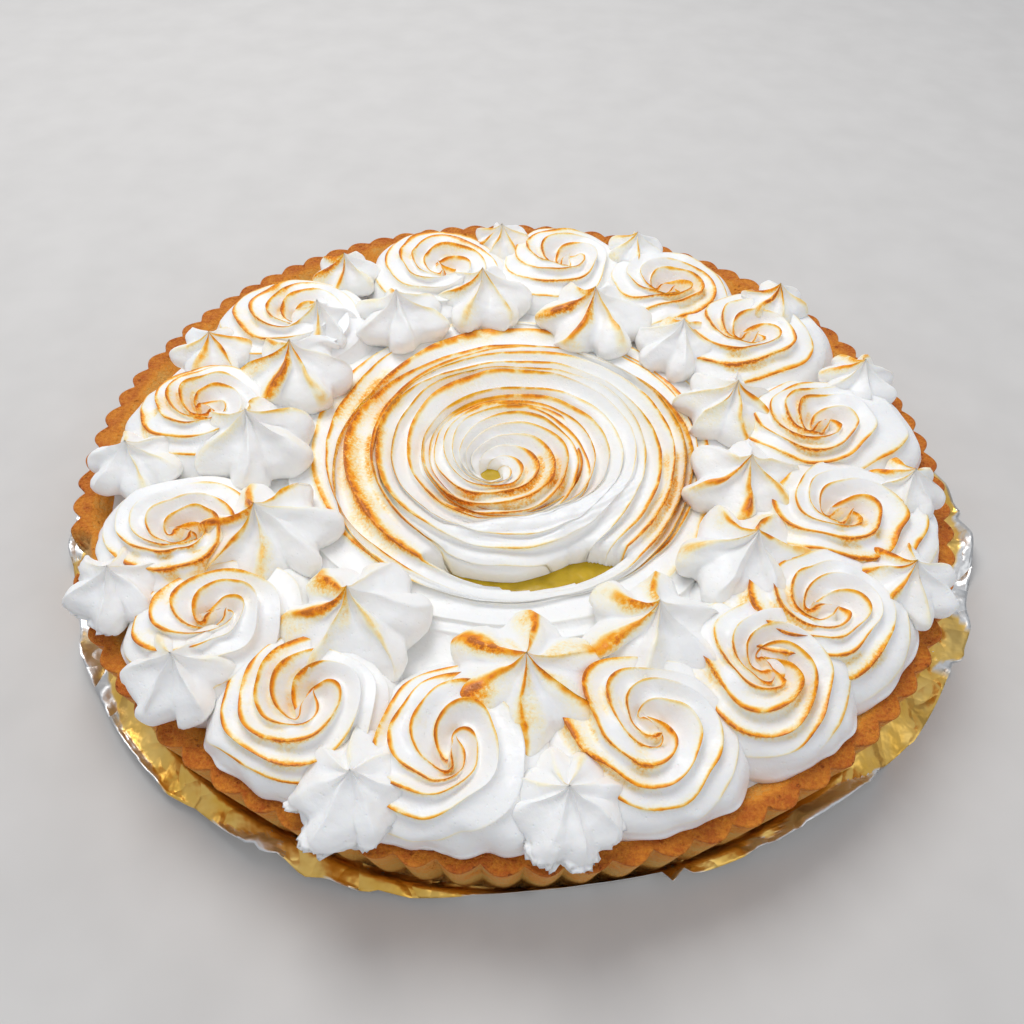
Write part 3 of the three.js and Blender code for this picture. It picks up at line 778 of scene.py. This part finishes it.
whirlOutline = {
    "across": [(0, 0.1), (0.03, 0.13), (0.1, 0.18), (0.3, 0.34), (0.6, 0.62), (0.85, 0.88), (0.95, 1.0),
               (1, 0.95)],
    "up": [(0, 0.0), (0.03, 0.3), (0.1, 0.5), (0.25, 0.69), (0.45, 0.88), (0.66, 0.97), (0.8, 0.88),
           (0.9, 0.78), (0.96, 0.7), (1, 0.6)],
    "depth": [(0, 0.2), (0.05, 0.5), (0.16, 1.0), (0.8, 1.0), (0.92, 0.6), (1, 0)],
    "sideways": [(0, 0.5), (0.1, 0.3), (0.3, 0.0), (1, 0)],
    "reach": [(0, 1.0), (1, 1.0)],
}
low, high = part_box("centre_spiral")
bedZ = low.z - 3.5 * mm          # the strokes sink a little into the curd
ringsSizes = {
    "centre": (0.0, -3 * mm, bedZ), "eye": (-2 * mm, -4 * mm, bedZ), "spread": 130 * mm,
    "height": 15.1 * mm, "depth": 2.7 * mm, "ridges": 19, "arms": 2, "columns": 340, "rowsPerRidge": 13,
    "spin": math.radians(-100), "seed": 11.0, "unevenness": 0.045, "stray": 0.75, "tail": 0.0,
    "waves": 0.7, "contrast": 0.7, "wobble": 1.4 * mm, "skew": 0.66, "lip": 0.4,
}
whirlSizes = {
    "centre": (-3 * mm, -5 * mm, bedZ), "eye": (-8 * mm, -6 * mm, bedZ), "spread": 29 * mm,
    "height": 14.5 * mm, "depth": 2.4 * mm, "ridges": 8, "arms": 6, "columns": 220, "rowsPerRidge": 12,
    "spin": math.radians(-60), "seed": 4.0, "unevenness": 0.05, "stray": 0.4, "tail": 0.0,
    "waves": 0.6, "contrast": 0.6, "wobble": 1.2 * mm, "skew": 0.7, "lip": 0.4, "settled": 0.8,
}
spiralTorching = [               # where the torch lingered: x, y and reach in mm, and strength
    (-50, 3, 12, 1.1), (-49, -16, 12, 1.1), (-43, -34, 12, 0.95), (-34, -48, 10, 0.6), (-44, 20, 10, 0.8),
    (-57, 16, 9, 1.1), (-54, 28, 9, 1.0), (-46, 36, 9, 0.6), (-29, 53, 8, 0.7), (-12, 57, 9, 0.9),
    (12, 55, 8, 0.6), (-22, 34, 12, 0.45), (4, 38, 13, 0.45), (-16, 20, 8, 0.6), (1, 21, 9, 0.85),
    (17, 12, 8, 0.8), (25, 0, 7, 0.5), (9, -8, 8, 1.3), (11, -17, 8, 1.2), (0, -23, 8, 1.15),
    (-11, -26, 8, 0.95), (-23, -22, 9, 0.7), (22, -16, 6, 0.6), (53, 30, 10, 0.7), (55, 12, 10, 1.0),
    (54, -8, 10, 1.1), (48, -27, 10, 1.1), (41, -42, 9, 1.0), (58, -14, 8, 0.9), (44, 48, 9, 0.5),
    (-26, 0, 8, 0.3), (0, -40, 10, 0.35),
]
fold = {                         # a soft white fold dragged across the front of the whirl
    "pulls": [(50, -4), (28, -34), (0, -38), (-27, -37)],      # mm, the handles of its curve
    "wide": (10.5, 2.0),         # mm, at its right end and at its left
    "rise": (3.6, 0.5),
    "streak": 0.24,
    "streakPitch": 2.1,
    "wrinkle": 0.7,
    "wrinklePitch": 4.5,
}
slit = {                         # the meringue parted here along a ring, down to the curd
    "centre": (0 * mm, -3 * mm),
    "reach": 53 * mm,
    "gap": [(-120, 0), (-115, 5.3), (-100, 6.0), (-88, 6.5), (-77, 8.4), (-66, 10.5), (-59, 9.0),
            (-54, 5.0), (-49, 0)],     # bearing in degrees, width in mm
    "dip": 4.6 * mm,             # how far the meringue sank beside it, between two bearings
    "dipFrom": -128,
    "dipTo": -30,
    "lip": 3.2 * mm,
    "lipReach": 5 * mm,
}


# points along a curve drawn by four handles
def curve(handles, count):
    t = np.linspace(0, 1, count)[:, None]
    a, b, c, d = np.array(handles, float)
    return (1 - t) ** 3 * a + 3 * t * (1 - t) ** 2 * b + 3 * t * t * (1 - t) * c + t ** 3 * d


# how near each point lies to a path, and how far along the path that is
def alongPath(x, y, path):
    best, where = np.full(len(x), 1e9), np.zeros(len(x))
    for leg, ((x0, y0), (x1, y1)) in enumerate(zip(path[:-1], path[1:])):
        dx, dy = x1 - x0, y1 - y0
        share = np.clip(((x - x0) * dx + (y - y0) * dy) / (dx * dx + dy * dy), 0, 1)
        distance = np.hypot(x - x0 - share * dx, y - y0 - share * dy)
        nearer = distance < best
        best[nearer], where[nearer] = distance[nearer], (leg + share)[nearer]
    return best, where


# how strongly the torch caught a stroke
def torching(x, y):
    torched = np.full(len(x), 0.08)
    for spotX, spotY, reach, strength in spiralTorching:
        torched += strength * np.exp(-(np.hypot(x / mm - spotX, y / mm - spotY) / reach) ** 2)
    return torched * (1 - 0.85 * smoothStep(64 * mm, 76 * mm, np.hypot(x, y)))


# drags the fold across a stroke; gives back how far each point is covered by it
def dragFold(points, carved):
    path = curve(fold["pulls"], 40)
    distance, where = alongPath(points[:, 0] / mm, points[:, 1] / mm, path)
    share = where / (len(path) - 1)
    wide, rise = [begin + (end - begin) * share for begin, end in (fold["wide"], fold["rise"])]
    covered = 1 - smoothStep(0.1, 1.25, distance / wide)
    covered *= smoothStep(0, 0.3, share) * (1 - smoothStep(0.75, 1, share))
    streaks = fold["streak"] * np.cos(distance / fold["streakPitch"] * turn)
    wrinkles = np.array([noise.noise(Vector((x, y, 0)) / (fold["wrinklePitch"] * mm))
                         for x, y in points[:, :2]])
    points[:, 2] += covered * (0.9 * carved + (rise + streaks + fold["wrinkle"] * wrinkles) * mm)
    return covered


# sinks a stroke towards the slit and parts it there; gives back how far each point sank
def openSlit(points, carved):
    fromX, fromY = points[:, 0] - slit["centre"][0], points[:, 1] - slit["centre"][1]
    reach, bearing = np.hypot(fromX, fromY), np.degrees(np.arctan2(fromY, fromX))
    lowered = smoothStep(slit["dipFrom"], slit["dipFrom"] + 30, bearing)
    lowered *= 1 - smoothStep(slit["dipTo"] - 32, slit["dipTo"], bearing)
    lowered *= smoothStep(33 * mm, 50 * mm, reach) * (1 - smoothStep(54 * mm, 68 * mm, reach))
    points[:, 2] -= lowered * (slit["dip"] - 0.4 * carved)

    # away is the distance from the gap, below zero inside it; its right end tore more raggedly
    ragged = np.array([noise.noise(Vector(p) / (3.5 * mm)) for p in points])
    rough = (0.2 + 0.8 * smoothStep(-64, -56, bearing)) * mm * ragged
    gap = np.interp(bearing, *zip(*slit["gap"]), left=-3, right=-3) * mm
    away = np.maximum(reach - slit["reach"] - rough, slit["reach"] - gap - reach + rough)
    away = np.where(gap > 0, away, np.maximum(away, 2 * mm))
    rounding = np.clip(1 - np.maximum(away, 0) / slit["lipReach"], 0, 1) ** 2
    rounding *= smoothStep(-1.0, 1.0, gap / mm)
    points[:, 2] -= slit["lip"] * rounding * np.where(reach < slit["reach"], 1.0, 0.55)
    opened = 1 - smoothStep(-0.9 * mm, 0.1 * mm, away)
    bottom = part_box("lemon_curd")[1].z - 3 * mm
    points[:, 2] += opened * (np.minimum(bottom, points[:, 2]) - points[:, 2])
    return lowered


for name, outline, sizes in (("rings", ringsOutline, ringsSizes), ("whirl", whirlOutline, whirlSizes)):
    stroke = grow("piped_centre_" + name, coilTree("piped " + name, outline), meringue, **sizes)
    points = vertexPoints(stroke.data)
    carved = readNumbers(stroke.data, "carved")
    torched = torching(points[:, 0], points[:, 1])
    torched *= 1 - dragFold(points, carved)
    torched *= 1 - 0.7 * openSlit(points, carved)
    storeNumbers(stroke.data, "toast", np.clip(torched, 0, 1.25))
    setPoints(stroke.data, points)
    place(stroke, "centre_spiral")
print("spiral piped")


# a body turned about the axis from a profile of radius and height; its poles and seam are closed
def turned(profile, columns):
    rows = len(profile) - 2
    angles = np.tile(np.arange(columns) / columns * turn, rows)
    radius, height = np.repeat(np.array(profile[1:-1]), columns, axis=0).T
    points = np.stack([radius * np.cos(angles), radius * np.sin(angles), height], -1)
    points = np.vstack([points, [0, 0, profile[0][1]], [0, 0, profile[-1][1]]])
    first, last = rows * columns, rows * columns + 1
    index = np.arange(rows * columns).reshape(rows, columns)
    after = np.roll(index, -1, 1)
    quads = np.stack([index[:-1], after[:-1], after[1:], index[1:]], -1).reshape(-1, 4)
    faces = [tuple(q) for q in quads.tolist()]
    faces += [(first, b, a) for a, b in zip(index[0].tolist(), after[0].tolist())]
    faces += [(last, a, b) for a, b in zip(index[-1].tolist(), after[-1].tolist())]
    return points, faces


def meshOf(name, points, faces, material=None):
    mesh = bpy.data.meshes.new(name)
    mesh.from_pydata(points.tolist(), [], faces)
    mesh.shade_smooth()
    if material:
        mesh.materials.append(material)
    mesh.update()
    return mesh


def pieceOf(name, mesh):
    piece = bpy.data.objects.new(name, mesh)
    bpy.context.scene.collection.objects.link(piece)
    return piece


# splits each leg of a profile into steps no longer than asked for it
def stepped(legs):
    points = [np.array(legs[0][:2], float)]
    for radius, height, step in legs[1:]:
        goal = np.array([radius, height], float)
        count = max(1, math.ceil(np.linalg.norm(goal - points[-1]) / step))
        begin = points[-1].copy()
        points += [begin + (goal - begin) * (k + 1) / count for k in range(count)]
    return [tuple(p) for p in points]


curdSizes = {"waves": 0.5 * mm, "wavePitch": 18 * mm, "columns": 120}
low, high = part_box("lemon_curd")
curdRadius = high.x
curdProfile = stepped([               # radius, height and longest step
    (0, low.z, 1), (curdRadius - 1 * mm, low.z, 40 * mm), (curdRadius, low.z + 1 * mm, 3 * mm),
    (curdRadius + 0.6 * mm, high.z - 1 * mm, 5 * mm), (curdRadius - 0.5 * mm, high.z, 1 * mm),
    (0, high.z, 3 * mm)])
points, faces = turned(curdProfile, curdSizes["columns"])
for index in np.flatnonzero(points[:, 2] > high.z - 0.5 * mm):
    wave = noise.noise(Vector(points[index]) / curdSizes["wavePitch"])
    points[index, 2] += curdSizes["waves"] * wave - 0.3 * mm
place(pieceOf("curd_filling", meshOf("curd_filling", points, faces, curd)), "lemon_curd")
print("curd poured")


caseSizes = {
    "flutes": 84,
    "columnsPerFlute": 12,
    "depthTop": 2.9 * mm,
    "depthFoot": 2.2 * mm,
    "rimWidth": 5.5 * mm,
    "slope": 8 * mm,
    "floor": 5 * mm,
}
chip = {                         # a piece broken out of the rim
    "bearing": 201,
    "half": 3.4,                 # degrees, half its width
    "deep": 6 * mm,
    "rough": 1.4 * mm,
}


# presses the flutes into a plain turned case: rounded lobes with sharp creases between them
def fluteTree():
    tree, size = growthTree("pressed flutes", {
        "Flutes": 84, "Depth top": 3.6 * mm, "Depth foot": 1.2 * mm, "Foot": 0.9 * mm, "Rim": 26.9 * mm,
        "Unevenness": 0.55})
    new = partial(add, tree)
    here = new("GeometryNodeInputPosition")
    x, y, z = [new("ShaderNodeSeparateXYZ", here, out=axis) for axis in range(3)]
    angle = new("ARCTAN2", y, x)
    uneven = new("ShaderNodeTexNoise", here, inputs={"Scale": 1 / (14 * mm), "Detail": 1.0})
    sway = new("MULTIPLY", new("SUBTRACT", uneven, 0.5), size["Unevenness"])
    phase = new("MULTIPLY", new("MULTIPLY", angle, size["Flutes"]), 0.5)
    lobe = new("POWER", new("ABSOLUTE", new("COSINE", new("ADD", phase, sway))), 0.9)
    rise = new("ShaderNodeMapRange", z, size["Foot"], size["Rim"], 0.0, 1.0)
    deeper = new("SUBTRACT", size["Depth top"], size["Depth foot"])
    depth = new("ADD", size["Depth foot"], new("MULTIPLY", rise, deeper))
    depth = new("MULTIPLY", depth, new("ADD", 1.0, new("MULTIPLY", sway, 1.4)))
    pressed = new("GeometryNodeInputNamedAttribute", "pressed", data_type="FLOAT")
    inwards = new("MULTIPLY", depth, new("SUBTRACT", lobe, 1.0), pressed)
    outwards = new("ShaderNodeVectorMath", new("ShaderNodeCombineXYZ", x, y, 0.0),
                   operation="NORMALIZE")
    move = new("ShaderNodeVectorMath", outwards, inputs={3: inwards}, operation="SCALE")
    moved = new("GeometryNodeSetPosition", size["Geometry"], None, None, move)
    closeTree(tree, moved, size["Material"], merge=0.001 * mm)
    return tree


low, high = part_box("pastry_case")
rimRadius, footZ, rimZ = high.x, low.z, high.z
footRadius = rimRadius - 6 * mm
innerRim = rimRadius - caseSizes["rimWidth"]
curdEdge = innerRim - caseSizes["slope"]
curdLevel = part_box("lemon_curd")[1].z
caseProfile = stepped([               # radius, height and longest step
    (0, footZ, 1), (footRadius - 3 * mm, footZ, 40 * mm), (footRadius - 0.6 * mm, footZ, 2 * mm),
    (footRadius, footZ + 0.8 * mm, 0.5 * mm), (rimRadius - 0.25 * mm, rimZ - 1.0 * mm, 1.0 * mm),
    (rimRadius, rimZ - 0.3 * mm, 0.4 * mm), (rimRadius - 0.5 * mm, rimZ, 0.4 * mm),
    (rimRadius - 1.4 * mm, rimZ - 0.35 * mm, 0.4 * mm), (innerRim + 0.8 * mm, rimZ - 0.5 * mm, 0.5 * mm),
    (innerRim - 0.6 * mm, rimZ - 1.0 * mm, 0.5 * mm), (curdEdge, curdLevel, 0.9 * mm),
    (curdEdge - 3 * mm, footZ + caseSizes["floor"], 7 * mm), (0, footZ + caseSizes["floor"], 60 * mm)])
columns = caseSizes["flutes"] * caseSizes["columnsPerFlute"]
points, faces = turned(caseProfile, columns)
blank = meshOf("case_blank", points, faces)
radius = np.hypot(points[:, 0], points[:, 1])
wallAt = footRadius - 0.5 * mm + (points[:, 2] - footZ) * 6 / 26       # the wall leans out 6 mm in 26
wall = np.where(points[:, 2] < rimZ - 1.2 * mm, radius > wallAt, 0)
onTop = points[:, 2] >= rimZ - 1.3 * mm
press = np.where(onTop, smoothStep(innerRim - 0.5 * mm, rimRadius - 1.2 * mm, radius), wall)
storeNumbers(blank, "pressed", press)
case = grow("fluted_case", fluteTree(), crust, base=blank, flutes=caseSizes["flutes"],
            depthTop=caseSizes["depthTop"], depthFoot=caseSizes["depthFoot"], foot=footZ, rim=rimZ)
mesh = case.data
points = vertexPoints(mesh)
radius = np.hypot(points[:, 0], points[:, 1])
bearing = np.degrees(np.arctan2(points[:, 1], points[:, 0])) % 360
crumbs = np.array([noise.noise(Vector(p) / (3 * mm)) + 0.5 * noise.noise(Vector(p) / (1.2 * mm))
                   for p in points])
off = (np.abs(bearing - chip["bearing"]) - chip["half"]) / chip["half"] + 0.35 * crumbs
gone = (1 - smoothStep(-0.35, 0.1, off)) * smoothStep(innerRim - 1 * mm, rimRadius - 3 * mm, radius)
above = np.maximum(points[:, 2] - (rimZ - chip["deep"] + chip["rough"] * crumbs), 0)
points[:, 2] -= gone * above
setPoints(mesh, points)
storeNumbers(mesh, "broken", gone * (above > 0.3 * mm))
topBand = smoothStep(rimZ - 2.2 * mm, rimZ - 0.8 * mm, points[:, 2])
topBand *= smoothStep(innerRim - 1.5 * mm, innerRim + 1 * mm, radius)
storeNumbers(mesh, "browned", topBand)
place(case, "pastry_case")
print("case baked")


foilSizes = {
    "columns": 420,
    "rows": 46,
    "seed": 5,
    "inner": 112 * mm,           # inside this it lies flat under the case
    "thick": 0.2 * mm,
    "hump": 5.0 * mm,            # it rises against the foot of the case and slopes away outwards
    "humpFrom": 133.5 * mm,
    "humpTop": 137 * mm,
    "humpTo": 157 * mm,
    "tears": 90,
    "tear": (-2.2, 1.2),         # mm in and out along the cut edge
    "folds": 70,
    "foldsAt": 146 * mm,
    "foldReach": (14, 34),       # mm
    "crumple": 0.7875,           # slope of a fold
    "curls": 60,
    "curl": (-0.14, 0.19),       # the share that turned up; below zero none did
    "upturn": 34 * mm,
    "highest": 8 * mm,
}
cadFoil = vertexPoints(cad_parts["foil_liner"].data)
low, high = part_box("foil_liner")
cadAngle = np.arctan2(cadFoil[:, 1], cadFoil[:, 0])
cadReach = np.hypot(cadFoil[:, 0], cadFoil[:, 1])


# how far out the foil's cut edge is at each bearing, from the CAD outline
def foilEdge(angle):
    outline = cadReach > 137 * mm
    order = np.argsort(cadAngle[outline])
    return np.interp(angle, cadAngle[outline][order], cadReach[outline][order], period=turn)


rng = np.random.default_rng(foilSizes["seed"])
columns, rows = foilSizes["columns"], foilSizes["rows"]
angles = np.arange(columns) / columns * turn
inner = foilSizes["inner"]
share = np.linspace(0, 1, rows)[:, None]
edge = foilEdge(np.where(angles > math.pi, angles - turn, angles))
tearAt = np.sort(rng.uniform(0, turn, foilSizes["tears"]))
tear = np.interp(angles, tearAt, rng.uniform(*foilSizes["tear"], foilSizes["tears"]) * mm, period=turn)
reach = inner + (edge + tear - inner) * share
x, y = reach * np.cos(angles), reach * np.sin(angles)
lift = smoothStep(134 * mm, 158 * mm, reach)
hump = foilSizes["hump"] * smoothStep(foilSizes["humpFrom"], foilSizes["humpTop"], reach)
hump *= np.clip((foilSizes["humpTo"] - reach) / (foilSizes["humpTo"] - foilSizes["humpTop"]), 0, 1)
crumple = np.zeros_like(x)
for crease in range(foilSizes["folds"]):     # each bends the sheet along one line, only near its middle
    bearing = rng.uniform(0, math.pi)
    at = rng.uniform(0, turn)
    fromX, fromY = x - foilSizes["foldsAt"] * math.cos(at), y - foilSizes["foldsAt"] * math.sin(at)
    across = fromX * math.cos(bearing) + fromY * math.sin(bearing)
    alongIt = -fromX * math.sin(bearing) + fromY * math.cos(bearing)
    foldReach = rng.uniform(*foilSizes["foldReach"]) * mm
    fade = np.clip(1 - np.hypot(across, alongIt) / foldReach, 0, 1)
    crumple += rng.uniform(-1, 1) * np.abs(across) * fade
crumple *= foilSizes["crumple"]
curlAt = np.sort(rng.uniform(0, turn, foilSizes["curls"]))
curl = np.interp(angles, curlAt, rng.uniform(*foilSizes["curl"], foilSizes["curls"]), period=turn)
curl = np.clip(curl, 0, 1)
# the torn edge turns up and shows its bare side
upturn = np.clip(share - (1 - curl), 0, 1) * foilSizes["upturn"]
z = low.z + 0.35 * mm + hump + lift * (0.5 * mm + crumple) + 0.1 * crumple + upturn
topZ = np.clip(z, low.z + 0.25 * mm, low.z + foilSizes["highest"])
topSheet = np.stack([x, y, topZ], -1).reshape(-1, 3)
under = topSheet - [0, 0, foilSizes["thick"]]
middleZ = low.z + 0.35 * mm
points = np.vstack([topSheet, under, [0, 0, middleZ], [0, 0, middleZ - foilSizes["thick"]]])
index = np.arange(rows * columns).reshape(rows, columns)
after = np.roll(index, -1, 1)
quads = np.stack([index[:-1], index[1:], after[1:], after[:-1]], -1).reshape(-1, 4)
count = rows * columns
faces = [tuple(q) for q in quads.tolist()]
faces += [tuple(q) for q in (quads[:, ::-1] + count).tolist()]
faces += [(a, a + count, b + count, b) for a, b in zip(index[-1].tolist(), after[-1].tolist())]
faces += [(2 * count, a, b) for a, b in zip(index[0].tolist(), after[0].tolist())]
faces += [(2 * count + 1, b + count, a + count) for a, b in zip(index[0].tolist(), after[0].tolist())]
mesh = meshOf("foil_sheet", points, faces, foil)
bareTop = (share > 1 - curl).astype(float).ravel()
storeNumbers(mesh, "bare", np.concatenate([bareTop, np.ones(count), [0, 1]]))
place(pieceOf("foil_sheet", mesh), "foil_liner")
print("foil laid")


floorLook = {"low": "#cfccc8", "high": "#d4d1cd", "half": 3.0}
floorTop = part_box("foil_liner")[0].z
floorMaterial, tree, end = newMaterial("pale matt board")
where = add(tree, "ShaderNodeTexCoord", out=3)
grainy = add(tree, "ShaderNodeTexNoise", where, inputs={"Scale": 1 / (25 * mm), "Detail": 2.0})
paint = add(tree, "ShaderNodeValToRGB", grainy, stops=[(0.3, floorLook["low"]), (0.7, floorLook["high"])])
board = add(tree, "ShaderNodeBsdfPrincipled", inputs={"Base Color": paint, "Roughness": 0.8})
tree.links.new(board, end.inputs[0])
corners = np.array([(-1, -1, 0), (1, -1, 0), (1, 1, 0), (-1, 1, 0)]) * floorLook["half"] + [0, 0, floorTop]
floor = pieceOf("floor", meshOf("floor", corners, [(0, 1, 2, 3)], floorMaterial))
floor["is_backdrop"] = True

world = bpy.data.worlds.new("soft studio")
world.use_nodes = True
world.node_tree.nodes["Background"].inputs[0].default_value = linear("#e8ecf4")
world.node_tree.nodes["Background"].inputs[1].default_value = 0.6
bpy.context.scene.world = world

lights = {                       # place, size in metres, and power in watts
    "overhead": {"at": (-0.25, 0.45, 0.95), "size": 0.6, "power": 6.3},
    "front": {"at": (0.6, -0.7, 0.8), "size": 0.8, "power": 1.2},
}
for name, light in lights.items():
    lamp = bpy.data.lights.new(name, "AREA")
    lamp.shape = "SQUARE"
    lamp.size = light["size"]
    lamp.energy = light["power"]
    holder = bpy.data.objects.new(name, lamp)
    holder.location = light["at"]
    holder.rotation_euler = (-Vector(light["at"])).to_track_quat("-Z", "Y").to_euler()
    bpy.context.scene.collection.objects.link(holder)

cameraSizes = {"at": (0.0, -0.2147, 0.2364), "turned": (41.688, -1.127, 1.416), "lens": 31.64}
camera = bpy.data.cameras.new("camera")
camera.lens = cameraSizes["lens"]
camera.sensor_width = 36
camera.clip_start = 0.01
cameraObject = bpy.data.objects.new("camera", camera)
cameraObject.location = cameraSizes["at"]
cameraObject.rotation_euler = [math.radians(v) for v in cameraSizes["turned"]]
bpy.context.scene.collection.objects.link(cameraObject)
bpy.context.scene.camera = cameraObject
bpy.context.scene.view_settings.view_transform = "Standard"

sizes = {"cad": [list(corner) for corner in cadBounds], "visual": [list(corner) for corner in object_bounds()]}
